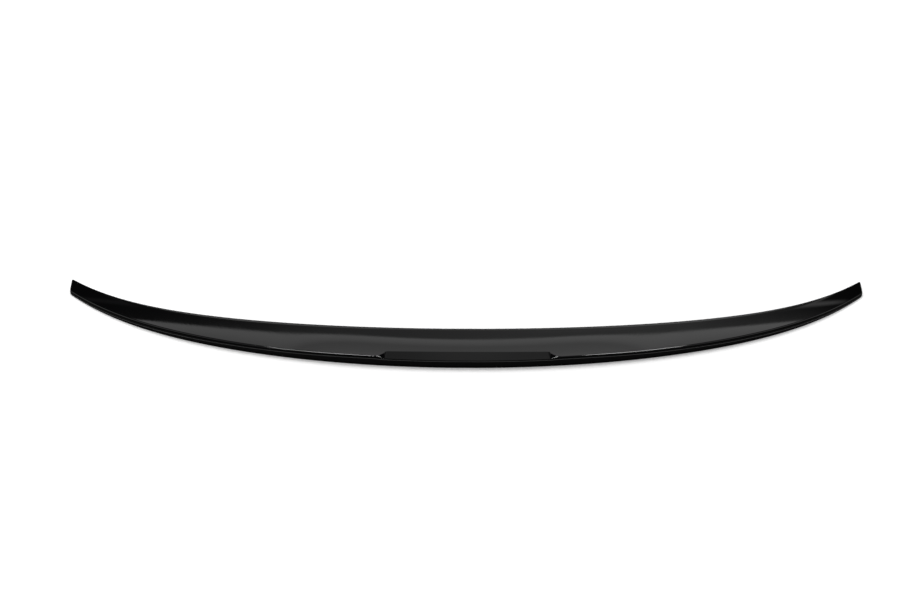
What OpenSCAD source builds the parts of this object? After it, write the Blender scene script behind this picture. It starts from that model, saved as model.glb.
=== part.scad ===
// Rear lip spoiler for a boot lid: one thin-walled moulding, open underneath.
// X runs along the spoiler, -Y is the trailing side, +Z is up.
// The origin is the middle of the footprint, on the ground plane.

/* [Plan shape] */
// Length from end to end
overall_length = 1200; // [800:1:1600]
// How far the middle of the foot line stands behind its two ends
trailing_bow = 151.6; // [60:0.5:260]
// Depth of the section from foot line to leading edge, in the middle
depth_middle = 70.1; // [45:0.1:110]
// Depth of the section from foot line to leading edge, at the ends
depth_end = 28.3; // [20:0.1:60]

/* [Heights] */
// Height of the trailing ridge along the middle third
ridge_middle = 17.5; // [13:0.1:40]
// Height of the trailing ridge at the ends
ridge_end = 7.2; // [6.5:0.1:20]
// Extra height of the ridge at the two shoulders of the notch
shoulder_rise = 2.9; // [0:0.1:10]
// Length over which a shoulder runs out along the ridge
shoulder_run = 160; // [60:1:260]
// Slope of the bonding side, rising from the foot to the leading edge, degrees
seat_angle = 8; // [2:0.5:14]
// Sag of the hollow top below its chord, in the middle
top_sag = 0.3; // [0.1:0.1:6]
// Sag of the hollow top below its chord, at the ends
end_sag = 0.2; // [0.1:0.1:3]

/* [Notch] */
// Half width of the notch floor
notch_half_floor = 121.5; // [60:1:200]
// Half width of the notch where it meets the ridge
notch_half_top = 136.5; // [64:1:220]
// Front-to-back depth of the notch floor near its two corners
notch_depth = 16; // [6:0.5:24]
// Radius of the two front corners of the notch floor, seen from above
notch_round = 4; // [1:0.5:8]
// Height of the edge of the notch floor
notch_edge_height = 17.7; // [12:0.1:30]

/* [Trailing side] */
// How far the ridge stands behind the foot line, in the middle
ridge_overhang = 2; // [0.5:0.1:6]
// How far the ridge stands behind the foot line, at the ends
ridge_overhang_end = 0.6; // [0.2:0.1:3]
// Height of the crease in the trailing face, in the middle
crease_middle = 15.4; // [8:0.1:20]
// Height of the crease in the trailing face, at the ends
crease_end = 1.6; // [1.4:0.1:6]
// How far the crease stands behind the foot line, in the middle
crease_overhang = 1.9; // [0.2:0.1:5]
// How far the rounding of the ridge reaches down each of its two faces
ridge_radius = 3; // [0.4:0.1:3.4]
// How far the rounding of the notch edge reaches down each of its two faces
notch_radius = 0.5; // [0.2:0.1:1.2]
// Radius left on the foot
foot_radius = 0.6; // [0.3:0.1:1.2]

/* [Walls and lands] */
// Wall under the top skin
wall = 2.8; // [2:0.1:5]
// Wall behind the trailing face
rear_wall = 3; // [2:0.1:5]
// Wall that closes each end
end_wall = 3; // [2:0.1:8]
// Thickness of the leading lip
lip_thickness = 2.2; // [1.6:0.1:3.5]
// Radius left on the leading edge
lip_radius = 0.9; // [0.4:0.1:1]
// Width of the front bonding land, in the middle
front_land = 14; // [8:0.5:24]
// Width of the front bonding land, at the ends
front_land_end = 6; // [4:0.5:12]
// Width of the rear bonding land, in the middle
rear_land = 8; // [5:0.5:14]
// Width of the rear bonding land, at the ends
rear_land_end = 5.6; // [4:0.1:10]
// Height of the heel over the rear bonding land
heel_height = 3; // [1:0.1:5]
// Least depth of the hollow, where it runs out into the front land
hollow_least = 0.6; // [0.3:0.1:1.5]

/* [Ribs] */
// Spacing of the cross ribs
rib_pitch = 75; // [40:1:150]
// Thickness of a rib at its free edge
rib_thickness = 1.8; // [1.2:0.1:3]
// Draft: how much a rib widens to each side at its root
rib_draft = 0.4; // [0.2:0.05:1]
// How far the free edge of a rib stays back from the bonding side
rib_setback = 0.6; // [0.3:0.1:2]

/* [Ends and fineness] */
// Radius of the outline's corners at each end, seen from above
end_radius = 3; // [1:0.1:6]
// Sections drawn between two ribs
sections_per_bay = 4; // [2:1:5]

/* [Hidden] */
// Shares of the bow that follow the square, the fourth and the eighth power
bow_shares = [0.663, 0.135, 0.202];
// Where the row of points that carries the notch line lies on the open top
row_share = 0.78;
// How close to the ridge that row is drawn at the shoulder of the notch
shoulder_share = 0.985;
// Share of the corner radius by which the skin drops at the end face
end_drop_share = 0.15;
// Share of the shoulder height that the crease takes up
crease_rise_share = 0.4;
// Where the two points of the inner wall lie between the heel and the roof
wall_shares = [0.8, 0.3];
// Rows of points on the top skin ahead of the notch line and behind it
rows_ahead = 8;
rows_behind = 3;
rows_round = 3;
half = overall_length / 2;
seat_rise = tan(seat_angle);
// Furthest point behind the foot line and furthest point ahead of it set the middle
y_middle = (trailing_bow + depth_end - ridge_overhang) / 2;
row_return = shoulder_run / 3;
hollow_end = half - end_wall;
// Ribs on each side of the middle: the first stands half a pitch out
ribs_a_side = floor((hollow_end - rib_pitch / 3) / rib_pitch + 0.5);
// Sections stay this far from the ends and from the corners of the notch
bay_margin = rib_pitch / 10;
notch_middle = (notch_half_floor + notch_half_top) / 2;
same_place = rib_draft / 8;

// Plain helpers
function limit(v) = min(1, max(0, v));
function ease(v) = pow(limit(v), 3) * (10 - 15 * limit(v) + 6 * pow(limit(v), 2));
function mix(a, b, v) = a + (b - a) * v;
function share_of_half(x) = abs(x) / half;

// Rounded corners of the ends: how far the outline draws in and the skin drops close to the end
function end_run(x) = limit((abs(x) - (half - end_radius)) / end_radius);
function inset(x) = end_radius * (1 - sqrt(1 - pow(end_run(x), 2)));
function end_drop(x) = end_drop_share * inset(x);

// Plan curves
function bow(s) = trailing_bow * (bow_shares[0] * pow(s, 2)
                                + bow_shares[1] * pow(s, 4)
                                + bow_shares[2] * pow(s, 8));
function y_foot(x) = bow(share_of_half(x)) - y_middle + inset(x);
function depth(x) = mix(depth_middle, depth_end, pow(share_of_half(x), 2));
function y_lead(x) = bow(share_of_half(x)) - y_middle + depth(x) - inset(x);
function overhang(x) = mix(ridge_overhang, ridge_overhang_end, pow(share_of_half(x), 2));
function y_ridge(x) = y_foot(x) - overhang(x);
function edge_radius(x) = in_notch(x) ? notch_radius : ridge_radius;

// Heights
function under(x, y) = seat_rise * max(0, y - y_foot(x) - foot_radius);
function shoulder(x) = 1 - ease((abs(x) - notch_half_top) / shoulder_run);
function z_plain(x) = mix(ridge_middle, ridge_end, pow(share_of_half(x), 4)) - end_drop(x);
function z_ridge(x) = z_plain(x) + shoulder_rise * shoulder(x);
function z_lead(x) = under(x, y_lead(x)) + lip_thickness - end_drop(x);
function in_notch(x) = abs(x) < notch_middle;
function z_edge(x) = in_notch(x) ? notch_edge_height : z_ridge(x);
function z_crease(x) = mix(crease_middle, crease_end, pow(share_of_half(x), 2))
                     + crease_rise_share * shoulder_rise * shoulder(x)
                     * ease((abs(x) - notch_half_floor) / (notch_half_top - notch_half_floor));
function crease_out(x) = mix(crease_overhang, ridge_overhang_end / 2, pow(share_of_half(x), 2));
function sag(x) = mix(top_sag, end_sag, pow(share_of_half(x), 2));

// Hollow top: a chord from leading edge to plain ridge less a parabola of the given sag,
// and the shoulders gathered close to the ridge by a fourth power
function top_curve(x, t) = mix(z_lead(x), z_plain(x), t) - 4 * sag(x) * t * (1 - t)
                         + shoulder_rise * shoulder(x) * pow(t, 4);
function run(x) = y_lead(x) - y_ridge(x);
function place_on(x, y) = (y_lead(x) - y) / run(x);

// Front line of the notch floor: straight across the spoiler, with a quarter round at each end
notch_front = y_ridge(notch_half_floor) + notch_depth;
function round_run(x) = limit((abs(x) - (notch_half_floor - notch_round)) / notch_round);
function notch_line(x) = notch_front - notch_round * (1 - sqrt(1 - pow(round_run(x), 2)));
function notch_place(x) = place_on(x, notch_line(x));
function top_end(x) = 1 - edge_radius(x) / run(x);
function open_place(x) = mix(shoulder_share, row_share, ease((abs(x) - notch_half_top) / row_return));
function row_place(x) = in_notch(x) ? notch_place(x) : top_end(x) * open_place(x);

// Top skin with the notch floor let into it
function behind(x, t) = (t - notch_place(x)) / (1 - notch_place(x));
function skin(x, t) = in_notch(x) && t > notch_place(x)
                    ? mix(top_curve(x, notch_place(x)), notch_edge_height, behind(x, t))
                    : top_curve(x, t);

// Rounded edge: a parabola arc from the top skin to the trailing face, with the sharp edge as
// its control point
function edge_rows(x) = [
    for (j = [1 : rows_round])
        let (v = j / rows_round, r = edge_radius(x))
        let (a = pow(1 - v, 2), b = 2 * v * (1 - v), c = pow(v, 2))
        [y_ridge(x) + a * r, a * skin(x, top_end(x)) + b * z_edge(x) + c * (z_edge(x) - r)]
];

// Outer chain of a section, from the underside of the lip over the top to the foot
function outer_rows(x) = [
    [y_lead(x) - lip_radius, under(x, y_lead(x) - lip_radius)],
    [y_lead(x), under(x, y_lead(x)) + lip_radius],
    [y_lead(x) - lip_radius / 2, z_lead(x)],
    for (j = [1 : rows_ahead])
        let (t = row_place(x) * j / rows_ahead)
        [y_lead(x) - t * run(x), skin(x, t)],
    for (j = [1 : rows_behind])
        let (t = mix(row_place(x), top_end(x), j / rows_behind))
        [y_lead(x) - t * run(x), skin(x, t)],
    each edge_rows(x),
    [y_foot(x) - crease_out(x), z_crease(x)],
    [y_foot(x), foot_radius],
    [y_foot(x) + foot_radius, 0]
];
row_count = rows_ahead + rows_behind + rows_round + 6;

// Inner chain of a section, from the front land to the rear land
function land_front(x) = mix(front_land, front_land_end, pow(share_of_half(x), 2));
function land_rear(x) = mix(rear_land, rear_land_end, pow(share_of_half(x), 2));
function y_hollow_front(x) = y_lead(x) - land_front(x);
function y_hollow_rear(x) = y_foot(x) + land_rear(x);
function roof(x, y) = max(skin(x, place_on(x, y)) - wall, under(x, y) + hollow_least);
function y_wall(x) = y_ridge(x) + rear_wall + notch_radius;
function heel(x) = mix(heel_height, heel_height * 2 / 3, share_of_half(x));
function z_heel(x) = under(x, y_hollow_rear(x)) + heel(x);
roof_rows = row_count - 5;
function open_rows(x) = [
    [y_hollow_front(x), under(x, y_hollow_front(x))],
    for (j = [1 : roof_rows])
        let (y = mix(y_hollow_front(x) - rib_draft / 2, y_wall(x) + rear_wall / 3,
                     (j - 1) / (roof_rows - 1)))
        [y, roof(x, y)],
    [y_wall(x), mix(z_heel(x), roof(x, y_wall(x)), wall_shares[0])],
    [y_wall(x) + rear_wall / 6, mix(z_heel(x), roof(x, y_wall(x)), wall_shares[1])],
    [y_hollow_rear(x) - rib_draft, z_heel(x)],
    [y_hollow_rear(x), under(x, y_hollow_rear(x))]
];

// The same chain where the hollow is filled down to a level over the bonding side
function filled_y(x, j) = j == 0 ? y_hollow_front(x)
                        : j == row_count - 1 ? y_hollow_rear(x)
                        : mix(y_hollow_front(x) - rib_draft, y_hollow_rear(x) + rib_draft,
                              (j - 1) / (row_count - 3));
function filled_rows(x, level) = [
    for (j = [0 : row_count - 1])
        let (y = filled_y(x, j))
        [y, under(x, y) + (j == 0 || j == row_count - 1 ? 0 : level)]
];

// How open the hollow is at a place along the spoiler: 0 in a rib or end wall, 1 between
function rib_place(k) = rib_pitch * (k + 0.5);
function nearest_rib(x) = rib_place(min(ribs_a_side - 1, floor(abs(x) / rib_pitch)));
function rib_opening(x) = limit((abs(abs(x) - nearest_rib(x)) - rib_thickness / 2) / rib_draft);
function end_opening(x) = limit((hollow_end - abs(x)) / rib_draft);
function inner_rows(x) =
    let (open = open_rows(x), level = end_opening(x) == 0 ? 0 : rib_setback)
    let (filled = filled_rows(x, level), v = min(rib_opening(x), end_opening(x)))
    [for (j = [0 : row_count - 1]) mix(filled[j], open[j], v)];

// Places along the spoiler where a section is drawn, for the half with x over zero
rib_places = [
    for (k = [0 : ribs_a_side - 1])
    for (d = [rib_thickness / 2, rib_thickness / 2 + rib_draft])
    each [rib_place(k) - d, rib_place(k) + d]
];
bay_places = [
    for (k = [0 : ribs_a_side])
    for (j = [1 : sections_per_bay - 1])
    let (x = rib_place(k - 1 + j / sections_per_bay))
    if (x > 0 && x < hollow_end - bay_margin && abs(x - notch_middle) > bay_margin) x
];
end_places = [
    hollow_end - rib_draft, hollow_end,
    for (j = [1 : 3]) half - end_radius * (1 - sin(90 * j / 3))
];
notch_places = [
    for (j = [0 : 3]) notch_half_floor - notch_round * (1 - sin(90 * j / 3)),
    notch_half_top
];
half_places = sorted(concat(rib_places, bay_places, end_places, notch_places));
function sorted(list) = len(list) < 2 ? list :
    let (pivot = list[floor(len(list) / 2)])
    concat(sorted([for (v = list) if (v < pivot - same_place) v]), [pivot],
           sorted([for (v = list) if (v > pivot + same_place) v]));
places = concat([for (j = [len(half_places) - 1 : -1 : 0]) -half_places[j]], half_places);

// One closed ring of points a section: the outer chain, then the inner chain turned round
function ring(x) = concat(
    [for (p = outer_rows(x)) [x, p[0], p[1]]],
    [for (j = [row_count - 1 : -1 : 0]) let (p = inner_rows(x)[j]) [x, p[0], p[1]]]
);
ring_size = 2 * row_count;

// Triangles between ring a and ring a + 1
function band(a) = [
    for (j = [0 : ring_size - 1])
    let (k = (j + 1) % ring_size, p = a * ring_size, q = (a + 1) * ring_size)
    each [[p + j, q + j, q + k], [p + j, q + k, p + k]]
];

// Triangles that close a ring: strips between the outer and the inner chain
function strip(first, j) =
    let (o = first + j, i = first + ring_size - 1 - j)
    j < row_count - 2 ? [[o, o + 1, i], [o + 1, i - 1, i]] : [[o, o + 1, i - 1], [o, i - 1, i]];
function turned(tri) = [tri[2], tri[1], tri[0]];

module spoiler() {
    rings = [for (x = places) ring(x)];
    last = (len(places) - 1) * ring_size;
    color([0.03, 0.03, 0.035])
    polyhedron(
        points = [for (r = rings) each r],
        faces = concat(
            [for (a = [0 : len(places) - 2]) each band(a)],
            [for (j = [0 : row_count - 2]) each strip(0, j)],
            [for (j = [0 : row_count - 2]) for (t = strip(last, j)) turned(t)]
        ),
        convexity = 10
    );
}

spoiler();
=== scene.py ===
"""Rear lip spoiler for a boot lid, dressed for the studio view.

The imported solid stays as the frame. One smooth closed shell of the same form replaces it,
so that gloss reflections run clean over the hollow top, the ridge and the notch.
The shape is worked out in millimetres, as in the part's own source, and turns into
metres where the mesh is written. X runs along the spoiler, Y towards the car, Z up.
"""

import bpy
import math
import numpy as np
from mathutils import Matrix, Vector


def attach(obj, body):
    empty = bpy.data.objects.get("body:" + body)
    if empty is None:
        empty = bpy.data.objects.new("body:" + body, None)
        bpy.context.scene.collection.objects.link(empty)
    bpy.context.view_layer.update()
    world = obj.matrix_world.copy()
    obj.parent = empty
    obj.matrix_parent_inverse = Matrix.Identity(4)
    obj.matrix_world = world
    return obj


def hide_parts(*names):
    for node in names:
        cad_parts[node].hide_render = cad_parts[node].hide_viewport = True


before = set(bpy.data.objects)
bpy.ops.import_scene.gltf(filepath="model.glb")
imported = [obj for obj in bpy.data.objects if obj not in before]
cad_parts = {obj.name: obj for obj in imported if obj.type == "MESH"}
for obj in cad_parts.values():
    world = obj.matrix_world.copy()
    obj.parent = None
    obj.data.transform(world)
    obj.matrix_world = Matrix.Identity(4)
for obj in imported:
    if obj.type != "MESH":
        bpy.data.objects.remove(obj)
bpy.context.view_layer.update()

# Sizes of the spoiler in millimetres. A pair is the size in the middle and the one at the ends.
LENGTH = 1200.0
HALF = LENGTH / 2
BOW = 151.6
BOW_SHARES = (0.663, 0.135, 0.202)    # of the square, the fourth and the eighth power
BOW_LEAST = 0.103                     # the foot line is straight until it has bowed this much
DEPTH = (70.1, 28.3)
RIDGE = (17.5, 7.2)
SHOULDER_RISE = 2.9
SHOULDER_RUN = 160.0
SEAT_RISE = math.tan(math.radians(8.0))
SAG = (0.3, 0.2)
OVERHANG = (2.0, 0.6)
CREASE = (15.4, 1.6)
CREASE_OVERHANG = (1.9, 0.3)
CREASE_RISE_SHARE = 0.4
END_R = 3.0
END_DROP_SHARE = 0.15
LIP = 2.2
FOOT_R = 0.6
Y_MIDDLE = (BOW + DEPTH[1] - OVERHANG[0]) / 2

# The notch: half lengths at its floor and at the ridge, its corner, depth and rear edge.
NOTCH_FLOOR = 121.5
NOTCH_TOP = 136.5
NOTCH_ROUND = 4.0
NOTCH_DEPTH = 16.0
NOTCH_EDGE = 17.7

# Roundings: how far each arc reaches from its corner, on top and behind where they differ.
RIDGE_CUT = 3.7
RIDGE_DROP = 2.8
NOTCH_CUT = 0.3
CREASE_CUT = 0.6
CUT_SHARE = 0.98                      # of its leg at most, so that no two points coincide
SKIN_ROUND = 0.10
ROOF_ROUND = 0.5

# Underside: lands, walls, the heel over the rear land, and the ribs.
FRONT_LAND = (14.0, 6.0)
REAR_LAND = (8.0, 5.6)
HEEL = (3.0, 2.0)
WALL = 2.8
REAR_WALL = 3.0
REAR_CLEAR = 0.8
END_WALL = 3.0
HOLLOW_LEAST = 0.6
RIB_PITCH = 75.0
RIB_T = 1.8
RIB_DRAFT = 0.4
RIB_SETBACK = 0.6
RIBS_A_SIDE = 8

# Rows of points round a section, and steps along X.
LIP_ROWS = 8
AHEAD_ROWS = 31
BEHIND_ROWS = 14
RIDGE_ROWS = 9
FACET_ROWS = 3
CREASE_ROWS = 5
FACE_ROWS = 6
FOOT_ROWS = 5
ROOF_ROWS = 22
REAR_WALL_ROWS = ((0.15, 0.85), (0.1, 0.6), (0.5, 0.3))    # mm towards the car, share of the height
GATHER = 1.35                         # power that draws the rows to the front line of the notch
LIP_BLEND = 6.0
OPEN_ROW_SHARE = 0.74
OPEN_ROW_RUN = 40.0
LEAST_ROW_SHARE = 0.012
EVEN_STEPS = 300
NOTCH_STEPS = 33
NOTCH_REACH = (5, 3)
CORNER_STEPS = 13
SIDE_STEPS = 25
END_STEPS = 7
LEAST_STEP = 0.04
ROUNDING_ERROR = 1e-6
SHARP_ANGLE = 38


# Plain helpers
def mix(a, b, v):
    """a + (b - a) v."""
    return a + (b - a) * v


def ease(v):
    """6v^5 - 15v^4 + 10v^3 between 0 and 1, so bends start without a break in curvature."""
    v = np.clip(v, 0, 1)
    return v**3 * (10 - 15 * v + 6 * v * v)


def soft_min(a, b, r):
    """Smaller of a and b, with a parabola of half width r where they meet."""
    h = np.clip(0.5 + 0.5 * (b - a) / r, 0, 1)
    return mix(b, a, h) - r * h * (1 - h)


def soft_max(a, b, r):
    """Larger of a and b, rounded the same way."""
    return -soft_min(-a, -b, r)


def s_of(x):
    """Share s of the half length: |x| over HALF."""
    return np.abs(x) / HALF


def along(x, pair, power=2):
    """A size that goes from the middle's to the ends' by a power of s."""
    return mix(*pair, s_of(x)**power)


def notch_share(x):
    """0 at the end of the notch's floor, 1 at the end of its opening, and straight in between."""
    return (np.abs(x) - NOTCH_FLOOR) / (NOTCH_TOP - NOTCH_FLOOR)


def points(y, z):
    """Points of a section, with y and z in their last place."""
    return np.stack([y, z], -1)


# Plan: where the lines of the spoiler run, seen from above
def inset(x):
    """Quarter round of radius END_R at the corners of the ends: 0 until END_R before the end."""
    q = np.clip((np.abs(x) - (HALF - END_R)) / END_R, 0, 1)
    return END_R * (1 - np.sqrt(np.clip(1 - q * q, 0, 1)))


def bow(s):
    """BOW times the weighted square, fourth and eighth power of s, straight over its first BOW_LEAST."""
    curve = BOW * (BOW_SHARES[0] * s**2 + BOW_SHARES[1] * s**4 + BOW_SHARES[2] * s**8)
    return soft_max(curve, BOW_LEAST, BOW_LEAST / 3)


def y_foot(x):
    """Foot line: the bow, drawn in at the ends' corners."""
    return bow(s_of(x)) - Y_MIDDLE + inset(x)


def y_lead(x):
    """Leading edge: the bow plus the depth, drawn in at the ends' corners."""
    return bow(s_of(x)) - Y_MIDDLE + along(x, DEPTH) - inset(x)


def y_ridge(x):
    """Trailing ridge: the foot line less the overhang."""
    return y_foot(x) - along(x, OVERHANG)


def run(x):
    """Depth of the top skin from the leading edge to the ridge."""
    return y_lead(x) - y_ridge(x)


def notch_front(x):
    """Front line of the notch floor: straight, with a quarter round of NOTCH_ROUND at its ends."""
    q = np.clip((np.abs(x) - (NOTCH_FLOOR - NOTCH_ROUND)) / NOTCH_ROUND, 0, 1)
    straight = float(y_ridge(np.array(NOTCH_FLOOR))) + NOTCH_DEPTH
    return straight - NOTCH_ROUND * (1 - np.sqrt(1 - q * q))


# Heights: the lines of the spoiler, seen from behind
def end_drop(x):
    """The skin drops towards the end face by a share of the corner's round."""
    return END_DROP_SHARE * inset(x)


def under(x, y):
    """Bonding side: it rises from the foot line at the seat's slope."""
    return SEAT_RISE * np.maximum(0, y - y_foot(x) - FOOT_R)


def shoulder(x):
    """Share of the shoulder's rise: 1 over the notch, eased to 0 over SHOULDER_RUN beyond it."""
    return 1 - ease((np.abs(x) - NOTCH_TOP) / SHOULDER_RUN)


def z_plain(x):
    """Ridge height with notch and shoulders left out, by the fourth power of s."""
    return along(x, RIDGE, 4) - end_drop(x)


def z_ridge(x):
    """Ridge height with the notch left out."""
    return z_plain(x) + SHOULDER_RISE * shoulder(x)


def z_lead(x):
    """Top of the leading lip: its thickness above the bonding side."""
    return under(x, y_lead(x)) + LIP - end_drop(x)


def z_crease(x):
    """Crease height by the square of s, plus a share of the shoulder's rise outside the notch."""
    return along(x, CREASE) + CREASE_RISE_SHARE * SHOULDER_RISE * shoulder(x) * ease(notch_share(x))


def top_curve(x, t):
    """Chord from leading edge (t = 0) to plain ridge (t = 1) less the parabola 4 sag t (1 - t).

    The shoulders add their height times t^4, so they gather close to the ridge.
    """
    chord = mix(z_lead(x), z_plain(x), t)
    sag = 4 * along(x, SAG) * t * (1 - t)
    return chord - sag + SHOULDER_RISE * shoulder(x) * t**4


def skin(x, y, round_mm=SKIN_ROUND):
    """Top skin: the hollow curve, cut by the notch.

    The notch is the larger of its floor, a ruled sheet from its front line to the level
    rear edge, and its side, a plane that rises from the floor's corner to the ridge
    at NOTCH_TOP. The skin is the smaller of curve and notch, all with rounded meetings.
    """
    t = (y_lead(x) - y) / run(x)
    curve = top_curve(x, t)
    xc = np.minimum(np.abs(x), NOTCH_FLOOR)
    t_front = (y_lead(xc) - notch_front(xc)) / run(xc)
    floor = mix(top_curve(xc, t_front), NOTCH_EDGE, (t - t_front) / (1 - t_front))
    side = floor + (float(z_ridge(np.array(NOTCH_TOP))) - NOTCH_EDGE) * notch_share(x)
    return soft_min(curve, soft_max(floor, side, round_mm), round_mm)


# The closed shell
def quarter(steps):
    """Sines of even angles from 0 to 90 degrees, which step evenly round a quarter."""
    return np.sin(np.linspace(0, np.pi / 2, steps))


def stations():
    """Places along X: even steps, closer at the notch corners, ribs and ends, mirrored about 0."""
    before, after = NOTCH_REACH
    ribs = (np.arange(RIBS_A_SIDE) + 0.5) * RIB_PITCH
    wall = HALF - END_WALL
    places = [np.linspace(0, HALF - END_R, EVEN_STEPS)]
    places += [np.linspace(c - before, c + after, NOTCH_STEPS) for c in (NOTCH_FLOOR, NOTCH_TOP)]
    places.append(NOTCH_FLOOR - NOTCH_ROUND * (1 - quarter(CORNER_STEPS)))
    places.append(np.linspace(NOTCH_FLOOR, NOTCH_TOP, SIDE_STEPS))
    for d in (RIB_T / 2, RIB_T / 2 + RIB_DRAFT):
        places += [ribs - d, ribs + d]
    places.append(np.array([wall - RIB_DRAFT, wall]))
    places.append(HALF - END_R * (1 - quarter(END_STEPS)))
    x = np.unique(np.round(np.concatenate(places), 4))
    x = x[np.concatenate([[True], np.diff(x) > LEAST_STEP])]
    return np.concatenate([-x[:0:-1], x])


def corner(p, q, r, cut_a, cut_b, n):
    """Rounding of corner q between p and r: a parabola arc that leaves the legs at cut_a, cut_b.

    Its n points are (1-v)^2 A + 2v(1-v) q + v^2 B with A and B on the legs.
    """
    def step(a, b, d):
        leg = b - a
        size = np.linalg.norm(leg, axis=-1, keepdims=True)
        return a + leg / size * np.minimum(d, CUT_SHARE * size)
    a, b = step(q, p, cut_a), step(q, r, cut_b)
    v = np.linspace(0, 1, n)[None, :, None]
    return (1 - v)**2 * a[:, None] + 2 * v * (1 - v) * q[:, None] + v**2 * b[:, None]


def line(a, b, n):
    """n even points between a and b, without a and b themselves."""
    v = np.linspace(0, 1, n + 2)[1:-1]
    return mix(a[:, None], b[:, None], v[None, :, None])


def ridge_cut(x, full):
    """Reach of the ridge's rounding: NOTCH_CUT along the notch, eased to full beside it."""
    return mix(NOTCH_CUT, full, ease(notch_share(x)))


def top_rows(x):
    """Rows of y on the top skin, gathered along the front line of the notch.

    The row of the notch line is the floor's front line inside the notch, the straight slant
    from the floor's corner to the ridge across the side, and eases back on the open top.
    """
    r = run(x)
    ax = np.abs(x)
    start = LIP / 2 / r
    end = 1 - ridge_cut(x, RIDGE_CUT) / r
    y_corner = float(notch_front(np.array(NOTCH_FLOOR)))
    y_shoulder = y_ridge(np.full_like(x, NOTCH_TOP))
    floor_t = (y_lead(x) - notch_front(x)) / r
    slant_t = (y_lead(x) - mix(y_corner, y_shoulder, np.clip(notch_share(x), 0, 1))) / r
    open_t = mix(1.0, OPEN_ROW_SHARE, ease((ax - NOTCH_TOP) / OPEN_ROW_RUN))
    key = np.where(ax <= NOTCH_FLOOR, floor_t, np.where(ax <= NOTCH_TOP, slant_t, open_t))
    key = np.minimum(key, end - LEAST_ROW_SHARE)
    a = np.linspace(0, 1, AHEAD_ROWS)[None, :]
    b = np.linspace(0, 1, BEHIND_ROWS + 1)[None, 1:]
    ahead = mix(start[:, None], key[:, None], 1 - (1 - a)**GATHER)
    behind = mix(key[:, None], end[:, None], b**GATHER)
    return y_lead(x)[:, None] - np.concatenate([ahead, behind], 1) * r[:, None]


def lip_chain(x):
    """Leading lip: half an ellipse from the bonding side up to the skin, half the lip deep."""
    r = LIP / 2
    yl = y_lead(x)
    zu = under(x, yl - r)
    half_high = ((z_lead(x) - zu) / 2)[:, None]
    angle = np.linspace(-np.pi / 2, np.pi / 2, LIP_ROWS + 1)[None, :-1]
    return points(yl[:, None] - r + r * np.cos(angle), zu[:, None] + half_high * (1 + np.sin(angle)))


def top_chain(x):
    """Top skin over its rows, raised to the lip's top by a step that fades as a square."""
    ys = top_rows(x)
    zs = skin(x[:, None], ys)
    step = (z_lead(x) - zs[:, 0])[:, None]
    return points(ys, zs + step * np.clip(1 - (ys[:, :1] - ys) / LIP_BLEND, 0, 1)**2)


def outer(x):
    """Outer chain of each section: lip, top skin, ridge, leaning facet, crease, face and foot."""
    yf = y_foot(x)
    y_seat = yf + FOOT_R * 3
    top = top_chain(x)
    ridge = points(y_ridge(x), skin(x, y_ridge(x)))
    crease = points(yf - along(x, CREASE_OVERHANG), z_crease(x))
    foot = points(yf, np.zeros(len(x)))
    seat = points(y_seat, under(x, y_seat))
    cut = CUT_SHARE * ridge_cut(x, RIDGE_CUT)[:, None]
    drop = ridge_cut(x, RIDGE_DROP)[:, None]
    edge = corner(top[:, -1], ridge, crease, cut, drop, RIDGE_ROWS)
    bend = corner(ridge, crease, foot, CREASE_CUT, CREASE_CUT, CREASE_ROWS)
    sole = corner(crease, foot, seat, FOOT_R, FOOT_R, FOOT_ROWS)
    facet = line(edge[:, -1], bend[:, 0], FACET_ROWS)
    face = line(bend[:, -1], sole[:, 0], FACE_ROWS)
    return np.concatenate([lip_chain(x), top, edge, facet, bend, face, sole], 1)


def hollow(x, y0, y1):
    """Open section from the front land's edge y0 to the rear land's y1.

    The roof lies WALL below the skin, and at least HOLLOW_LEAST above the bonding side.
    The rear wall comes down from it to the heel, which stands over the rear land.
    """
    def roof(xs, ys):
        return np.maximum(skin(xs, ys, ROOF_ROUND) - WALL, under(xs, ys) + HOLLOW_LEAST)

    def one_row(y, z):
        return points(y, z)[:, None]
    y_wall = y_ridge(x) + REAR_WALL + REAR_CLEAR
    v = np.linspace(0, 1, ROOF_ROWS)[None, :]
    y_roof = mix((y0 - RIB_DRAFT / 2)[:, None], (y_wall + REAR_WALL / 3)[:, None], v)
    z_wall = roof(x, y_wall)
    z_heel = under(x, y1) + along(x, HEEL, 1)
    rows = [one_row(y0, under(x, y0)), points(y_roof, roof(x[:, None], y_roof))]
    rows += [one_row(y_wall + ahead, mix(z_heel, z_wall, share)) for ahead, share in REAR_WALL_ROWS]
    rows += [one_row(y1 - RIB_DRAFT, z_heel), one_row(y1, under(x, y1))]
    return np.concatenate(rows, 1)


def filled(x, y0, y1, count):
    """Section filled by a rib, RIB_SETBACK above the bonding side, or flush with it at an end wall.

    Its rows run evenly from y0 to y1, as many as the open section has.
    """
    j = np.arange(count)
    share = np.clip((j - 1) / (count - 3), 0, 1)[None, :]
    y = mix((y0 - RIB_DRAFT)[:, None], (y1 + RIB_DRAFT)[:, None], share)
    y[:, 0], y[:, -1] = y0, y1
    at_end = np.abs(x) >= HALF - END_WALL - ROUNDING_ERROR
    level = np.where(at_end, 0.0, RIB_SETBACK)[:, None] * ((j > 0) & (j < count - 1))[None, :]
    return points(y, under(x[:, None], y) + level)


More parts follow.
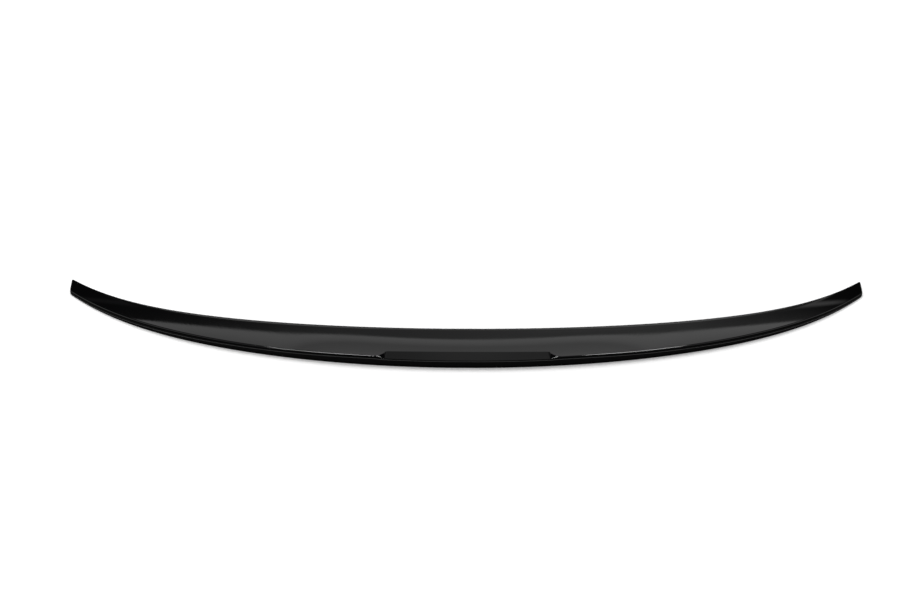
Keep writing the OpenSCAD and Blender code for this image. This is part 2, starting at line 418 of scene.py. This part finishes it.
def inner(x):
    """Inner chain, from the front land to the rear land: filled at ribs and end walls, else open."""
    y0 = y_lead(x) - along(x, FRONT_LAND)
    y1 = y_foot(x) + along(x, REAR_LAND)
    open_rows = hollow(x, y0, y1)
    near = RIB_PITCH * (np.minimum(RIBS_A_SIDE - 1, np.floor(np.abs(x) / RIB_PITCH)) + 0.5)
    off_rib = np.clip((np.abs(np.abs(x) - near) - RIB_T / 2) / RIB_DRAFT, 0, 1)
    off_end = np.clip((HALF - END_WALL - np.abs(x)) / RIB_DRAFT, 0, 1)
    share = np.minimum(off_rib, off_end)[:, None, None]
    return mix(filled(x, y0, y1, open_rows.shape[1]), open_rows, share)


def slots_of_rows(count):
    """Material slot of each row: 0 is gloss on lip, top, ridge and crease, 1 is satin elsewhere."""
    rows = np.arange(count)
    top_end = LIP_ROWS + AHEAD_ROWS + BEHIND_ROWS
    gloss_end = top_end + RIDGE_ROWS // 2
    crease_start = top_end + RIDGE_ROWS + FACET_ROWS + 1
    on_crease = (rows >= crease_start) & (rows < crease_start + CREASE_ROWS // 2)
    return np.where((rows < gloss_end) | on_crease, 0, 1)


def shell_mesh():
    """Rings of points joined by quads, closed at both ends by one flat face each."""
    x = stations()
    ring = np.concatenate([outer(x), inner(x)[:, ::-1]], 1)
    n, m = ring.shape[:2]
    xyz = np.empty((n, m, 3))
    xyz[..., 0] = x[:, None]
    xyz[..., 1:] = ring
    i, j = np.meshgrid(np.arange(n - 1), np.arange(m), indexing="ij")
    k = (j + 1) % m
    quads = np.stack([i * m + j, i * m + k, (i + 1) * m + k, (i + 1) * m + j], -1).reshape(-1, 4)
    counts = np.concatenate([np.full(len(quads), 4), [m, m]])
    loops = np.concatenate([quads.ravel(), np.arange(m)[::-1], (n - 1) * m + np.arange(m)])
    starts = np.concatenate([[0], np.cumsum(counts)[:-1]])
    slots = np.concatenate([np.tile(slots_of_rows(m), n - 1), [0, 0]])

    mesh = bpy.data.meshes.new("spoiler_shell")
    mesh.vertices.add(n * m)
    mesh.vertices.foreach_set("co", (xyz / 1000).astype(np.float32).ravel())
    mesh.loops.add(len(loops))
    mesh.loops.foreach_set("vertex_index", loops.astype(np.int32))
    mesh.polygons.add(len(counts))
    mesh.polygons.foreach_set("loop_start", starts.astype(np.int32))
    mesh.polygons.foreach_set("loop_total", counts.astype(np.int32))
    mesh.polygons.foreach_set("material_index", slots.astype(np.int32))
    mesh.polygons.foreach_set("use_smooth", np.ones(len(counts), bool))
    mesh.update(calc_edges=True)
    mesh.validate()
    mesh.set_sharp_from_angle(angle=math.radians(SHARP_ANGLE))
    return mesh


# Short calls for nodes
def add_node(tree, kind, inputs=None, **settings):
    """Add a node. inputs maps its sockets to numbers, colours or outputs of other nodes."""
    node = tree.nodes.new("ShaderNode" + kind)
    for name, value in settings.items():
        setattr(node, name, value)
    for name, value in (inputs or {}).items():
        if isinstance(value, bpy.types.NodeSocket):
            tree.links.new(value, node.inputs[name])
        else:
            node.inputs[name].default_value = value
    return node


def calc(tree, operation, *values):
    """One sum, product or function of numbers and outputs."""
    return add_node(tree, "Math", dict(enumerate(values)), operation=operation).outputs[0]


def ramp(tree, value, v0, v1, r0=0.0, r1=1.0, kind="SMOOTHSTEP"):
    """r0 up to v0, r1 from v1 on, and in between an S curve, or a straight line if kind is LINEAR."""
    sockets = {"Value": value, "From Min": v0, "From Max": v1, "To Min": r0, "To Max": r1}
    return add_node(tree, "MapRange", sockets, interpolation_type=kind).outputs["Result"]


def between(tree, value, rise, fall, rest):
    """Rises from 0 to 1 over the pair rise, and falls from 1 to rest over the pair fall."""
    return calc(tree, "MULTIPLY", ramp(tree, value, *rise), ramp(tree, value, *fall, 1.0, rest))


def noise(tree, place, scale, detail):
    """Cloudy pattern with about scale spots a metre."""
    sockets = {"Vector": place, "Scale": scale, "Detail": detail}
    return add_node(tree, "TexNoise", sockets).outputs["Fac"]


def tones(tree, value, dark, light):
    """Colour from dark to light."""
    node = add_node(tree, "ValToRGB", {"Fac": value})
    for element, color in zip(node.color_ramp.elements, (dark, light)):
        element.color = (*color, 1)
    return node.outputs["Color"]


def relief(tree, height, strength, distance):
    """Bumps of a height map, distance metres deep."""
    sockets = {"Height": height, "Strength": strength, "Distance": distance}
    return add_node(tree, "Bump", sockets).outputs["Normal"]


# Materials
FLOOR_COLOR = (0.9, 0.9, 0.9, 1)
FLOOR_GLOW = (0.25, 1.3, 0.19, 0.75)    # metres from and to, glow there and there


def new_material(name):
    """A material with nothing in it yet, its tree of nodes and its Object coordinates."""
    mat = bpy.data.materials.new(name)
    mat.use_nodes = True
    mat.node_tree.nodes.clear()
    return mat, mat.node_tree, add_node(mat.node_tree, "TexCoord").outputs["Object"]


def plastic(tree, specular, color, roughness, normal):
    """Moulded plastic that takes its colour, roughness and relief from the given outputs."""
    bsdf = add_node(tree, "BsdfPrincipled", {
        "IOR": 1.5, "Specular IOR Level": specular,
        "Base Color": color, "Roughness": roughness, "Normal": normal})
    add_node(tree, "OutputMaterial", {"Surface": bsdf.outputs["BSDF"]})


def gloss_black():
    """Gloss black moulded plastic: faint flow tone, gloss that hazes in patches, and orange peel."""
    mat, tree, place = new_material("gloss_black_plastic")
    flow = tones(tree, noise(tree, place, 9.0, 3.0), (0.0010, 0.0010, 0.0011), (0.0016, 0.0016, 0.0018))
    haze = ramp(tree, noise(tree, place, 26.0, 4.0), 0.3, 0.7, 0.018, 0.040, "LINEAR")
    orange_peel = relief(tree, noise(tree, place, 260.0, 1.0), 0.05, 0.00006)
    plastic(tree, 0.5, flow, haze, orange_peel)
    return mat


def satin_black():
    """The same plastic as it leaves an unpolished mould side: fine grain, little gloss."""
    mat, tree, place = new_material("satin_black_plastic")
    cloud = noise(tree, place, 40.0, 5.0)
    tone = tones(tree, cloud, (0.0010, 0.0010, 0.0011), (0.0017, 0.0017, 0.0018))
    dull = ramp(tree, cloud, 0.0, 1.0, 0.38, 0.52, "LINEAR")
    cells = add_node(tree, "TexVoronoi", {"Vector": place, "Scale": 2200.0}).outputs["Distance"]
    plastic(tree, 0.012, tone, dull, relief(tree, cells, 0.25, 0.00004))
    return mat


def floor_white():
    """White paper floor. Its lit part keeps the shadow; a glow for camera, glossy and
    transmission rays brings it to white and grows outwards, where the lamp falls off."""
    mat, tree, place = new_material("white_floor")
    away = add_node(tree, "VectorMath", {0: place}, operation="LENGTH").outputs["Value"]
    path = add_node(tree, "LightPath").outputs
    seen = calc(tree, "MAXIMUM", path["Is Camera Ray"], path["Is Glossy Ray"])
    seen = calc(tree, "MAXIMUM", seen, path["Is Transmission Ray"])
    level = calc(tree, "MULTIPLY", ramp(tree, away, *FLOOR_GLOW), seen)
    glow = add_node(tree, "Emission", {"Color": (1, 1, 1, 1), "Strength": level})
    paper = add_node(tree, "BsdfDiffuse", {"Color": FLOOR_COLOR})
    both = add_node(tree, "AddShader", {0: paper.outputs[0], 1: glow.outputs[0]})
    add_node(tree, "OutputMaterial", {"Surface": both.outputs[0]})
    return mat


# The room that the gloss mirrors: azimuth and height in degrees, light as a share of white.
# A row of four is where a ramp starts and ends, and its value at either.
ROOM_LIGHT = 0.012
WINDOW_AZIMUTH = 0.7
WINDOW_HALF = 7.0
WINDOW_TOP = 36.85
WINDOW_DROP = 5.0
WINDOW_POWER = 2.5
WINDOW_EDGE = 0.35
WINDOW_SILL = (6.0, 14.0)
WINDOW_LIGHT = (0.0, 4.0, 1.12, 0.68)
WINDOW_TILT = 0.012
WALL_STOPS = ((-8.0, 0.0), (-6.6, 0.03), (-5.0, 0.12), (-3.5, 0.25), (0.7, 0.36), (5.0, 0.41),
              (7.0, 0.36), (8.2, 0.19), (9.2, 0.06), (10.6, 0.0))
WALL_REACH = 16.0
WALL_FADE = (37.5, 40.5, 0.96, 0.76)
WALL_END = (50.0, 75.0, 1.0, 0.0)
LINE_AZIMUTH = 0.5
LINE_TOP = 39.0
LINE_BEND = 0.085
LINE_LEAST = 34.3
LINE_HALF = 1.1
LINE_LIGHT = (1.5, 7.0, 0.05, 0.55)
LINE_END = (9.8, 11.6, 1.0, 0.0)
HIGH_LIGHT = 0.8
HIGH_TURN = ((22.0, 36.0), (60.0, 90.0))
HIGH_BAND = ((47.0, 52.0), (62.0, 80.0))
LOW_LIGHT = 0.45
LOW_TURN = (24.0, 42.0)
LOW_BAND = ((0.0, 24.0), (47.0, 52.0))
DOME_REST = 0.3                       # share of the dome's light that is left past each band


def window(tree, azimuth, height, below):
    """Light of the window, inside its arch and above its sill.

    It is strongest under the arch, and grows to the right by WINDOW_TILT a degree.
    """
    under_arch = ramp(tree, below, -WINDOW_EDGE, WINDOW_EDGE)
    inside = calc(tree, "MULTIPLY", under_arch, ramp(tree, height, *WINDOW_SILL))
    tilt = calc(tree, "MULTIPLY", azimuth, WINDOW_TILT)
    return calc(tree, "MULTIPLY", inside, calc(tree, "ADD", ramp(tree, below, *WINDOW_LIGHT), tilt))


def wall(tree, azimuth, height, below):
    """Light of the wall above the arch: a smooth curve through WALL_STOPS over the azimuth."""
    share = ramp(tree, azimuth, -WALL_REACH, WALL_REACH, 0.0, 1.0, "LINEAR")
    curve = add_node(tree, "ValToRGB", {"Fac": share})
    curve.color_ramp.interpolation = "B_SPLINE"
    stops = curve.color_ramp.elements
    while len(stops) < len(WALL_STOPS):
        stops.new(0.5)
    for stop, (place, level) in zip(stops, WALL_STOPS):
        stop.position = (place + WALL_REACH) / (2 * WALL_REACH)
        stop.color = (level, level, level, 1)
    above = ramp(tree, below, -WINDOW_EDGE, WINDOW_EDGE, 1.0, 0.0)
    above = calc(tree, "MULTIPLY", above, ramp(tree, height, *WALL_END))
    light = calc(tree, "MULTIPLY", curve.outputs["Color"], above)
    return calc(tree, "MULTIPLY", light, ramp(tree, height, *WALL_FADE))


def thin_line(tree, azimuth, height):
    """A thin line of light high on the wall: a parabola over the azimuth, level past LINE_LEAST."""
    off = calc(tree, "ABSOLUTE", calc(tree, "SUBTRACT", azimuth, LINE_AZIMUTH))
    bend = calc(tree, "MULTIPLY", calc(tree, "POWER", off, 2.0), LINE_BEND)
    middle = calc(tree, "MAXIMUM", calc(tree, "SUBTRACT", LINE_TOP, bend), LINE_LEAST)
    gap = calc(tree, "ABSOLUTE", calc(tree, "SUBTRACT", height, middle))
    level = calc(tree, "MULTIPLY", ramp(tree, azimuth, *LINE_LIGHT), ramp(tree, azimuth, *LINE_END))
    return calc(tree, "MULTIPLY", ramp(tree, gap, 0.0, LINE_HALF, 1.0, 0.0), level)


def dome(tree, azimuth, height):
    """Soft light to both sides of the room: a high band and a dimmer low one."""
    turn = calc(tree, "ABSOLUTE", azimuth)
    high_turn = between(tree, turn, *HIGH_TURN, DOME_REST)
    high = calc(tree, "MULTIPLY", high_turn, between(tree, height, *HIGH_BAND, DOME_REST))
    low_band = between(tree, height, *LOW_BAND, DOME_REST)
    low = calc(tree, "MULTIPLY", ramp(tree, turn, *LOW_TURN), low_band)
    high = calc(tree, "MULTIPLY", high, HIGH_LIGHT)
    return calc(tree, "ADD", high, calc(tree, "MULTIPLY", low, LOW_LIGHT))


def world_light():
    """Dark studio room: an arched window far ahead, the wall over it, a thin line and a soft dome.

    The world is a map over direction. Azimuth is counted from +Y towards +X and height
    from the ground, both in degrees. The window's top is the arch
    WINDOW_TOP - WINDOW_DROP |(azimuth - WINDOW_AZIMUTH) / WINDOW_HALF|^WINDOW_POWER.
    """
    world = bpy.data.worlds.new("studio")
    bpy.context.scene.world = world
    world.use_nodes = True
    tree = world.node_tree
    direction = add_node(tree, "TexCoord").outputs["Generated"]
    part = add_node(tree, "SeparateXYZ", {0: direction}).outputs
    azimuth = calc(tree, "DEGREES", calc(tree, "ARCTAN2", part["X"], part["Y"]))
    height = calc(tree, "DEGREES", calc(tree, "ARCSINE", part["Z"]))
    off = calc(tree, "DIVIDE", calc(tree, "SUBTRACT", azimuth, WINDOW_AZIMUTH), WINDOW_HALF)
    drop = calc(tree, "POWER", calc(tree, "ABSOLUTE", off), WINDOW_POWER)
    arch = calc(tree, "SUBTRACT", WINDOW_TOP, calc(tree, "MULTIPLY", drop, WINDOW_DROP))
    below = calc(tree, "SUBTRACT", arch, height)
    light = calc(tree, "ADD", window(tree, azimuth, height, below), wall(tree, azimuth, height, below))
    light = calc(tree, "ADD", light, thin_line(tree, azimuth, height))
    light = calc(tree, "ADD", light, dome(tree, azimuth, height))
    light = calc(tree, "ADD", light, ROOM_LIGHT)
    background = tree.nodes["Background"]
    background.inputs["Color"].default_value = (1, 1, 1, 1)
    tree.links.new(light, background.inputs["Strength"])


# Lamps, in metres. The two strips share all but their x and width.
FLOOR_LAMP = {"place": (-0.24, 0.32, 2.4), "aim": (0.02, -0.09, 0), "size": (1.50, 1.22), "strength": 7.0}
STRIPS = (("left", -0.405, 0.43), ("right", 0.585, 0.31))
STRIP_Y = 1.75
STRIP_Z = 2.4
STRIP_AIM = (0.05, -0.09, 0)
STRIP_DEPTH = 0.40
STRIP_STRENGTH = 28.0


def panel(name, shape, place, aim, size, strength):
    """Soft light at place, facing aim; strength is its radiance, which times pi and area is watts."""
    lamp = bpy.data.lights.new(name, "AREA")
    lamp.shape = shape
    lamp.size, lamp.size_y = size
    filled_share = math.pi / 4 if shape == "ELLIPSE" else 1
    lamp.energy = strength * math.pi * filled_share * size[0] * size[1]
    lamp.color = (1, 1, 1)
    obj = bpy.data.objects.new(name, lamp)
    bpy.context.scene.collection.objects.link(obj)
    facing = (Vector(aim) - Vector(place)).to_track_quat("-Z", "Y").to_matrix().to_4x4()
    obj.matrix_world = Matrix.Translation(place) @ facing
    obj.visible_camera = False
    return obj


def set_lamps():
    """One soft box that lights the floor, and two strips that only the gloss shows, on the ridge."""
    soft_box = panel("soft_box", "RECTANGLE", **FLOOR_LAMP)
    soft_box.visible_glossy = False
    for side, x, width in STRIPS:
        place, size = (x, STRIP_Y, STRIP_Z), (width, STRIP_DEPTH)
        strip_box = panel("strip_box_" + side, "ELLIPSE", place, STRIP_AIM, size, STRIP_STRENGTH)
        strip_box.visible_diffuse = False


# The camera: angles in degrees, distances in metres, and the frame in pixels
CAMERA_ANGLES = (45.0, -0.818, 0.7455)    # elevation, turn and roll
CAMERA_DISTANCE = 3.50256
CAMERA_AIM_Y = 0.03808
FOCAL_PX = 2322.9
AXIS_PX = 466.96
WIDTH_PX = 920.0
ROW_SHIFT_PX = 0.5
SENSOR_MM = 36.0


def set_camera():
    """Camera 45 degrees above the ground behind the part, turned under a degree to its left.

    It stands CAMERA_DISTANCE from the point CAMERA_AIM_Y ahead of the middle. Its focal
    length is FOCAL_PX, and its viewing axis goes through the frame at the column AXIS_PX.
    """
    elevation, turn, roll = (math.radians(a) for a in CAMERA_ANGLES)
    ct, st = math.cos(turn), math.sin(turn)
    ce, se = math.cos(elevation), math.sin(elevation)
    cr, sr = math.cos(roll), math.sin(roll)
    ground = CAMERA_DISTANCE * ce
    place = Vector((ground * st, CAMERA_AIM_Y - ground * ct, CAMERA_DISTANCE * se))
    right = Vector((ct, st, 0))
    up = Vector((-st * se, ct * se, ce))
    right, up = cr * right + sr * up, -sr * right + cr * up
    facing = Matrix((right, up, right.cross(up))).transposed().to_4x4()
    cam = bpy.data.cameras.new("photo_camera")
    cam.sensor_width = SENSOR_MM
    cam.lens = FOCAL_PX * SENSOR_MM / WIDTH_PX
    cam.shift_x = -(AXIS_PX - WIDTH_PX / 2) / WIDTH_PX
    cam.shift_y = ROW_SHIFT_PX / WIDTH_PX
    cam.clip_end = 100
    obj = bpy.data.objects.new("photo_camera", cam)
    bpy.context.scene.collection.objects.link(obj)
    obj.matrix_world = Matrix.Translation(place) @ facing
    bpy.context.scene.camera = obj


# Putting it together
FLOOR_HALF = 12.0


def add_object(name, mesh, *materials):
    """Object at the origin with its mesh and material slots."""
    obj = bpy.data.objects.new(name, mesh)
    bpy.context.scene.collection.objects.link(obj)
    for mat in materials:
        obj.data.materials.append(mat)
    return obj


def floor_sheet():
    """Flat square at height 0 that reaches FLOOR_HALF metres to each side."""
    e = FLOOR_HALF
    mesh = bpy.data.meshes.new("floor")
    mesh.from_pydata([(-e, -e, 0), (e, -e, 0), (e, e, 0), (-e, e, 0)], [], [(0, 1, 2, 3)])
    return mesh


shell = add_object("spoiler_shell", shell_mesh(), gloss_black(), satin_black())
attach(shell, "root")
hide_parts("spoiler")

floor = add_object("floor", floor_sheet(), floor_white())

world_light()
set_lamps()
set_camera()
bpy.context.scene.view_settings.view_transform = "Standard"
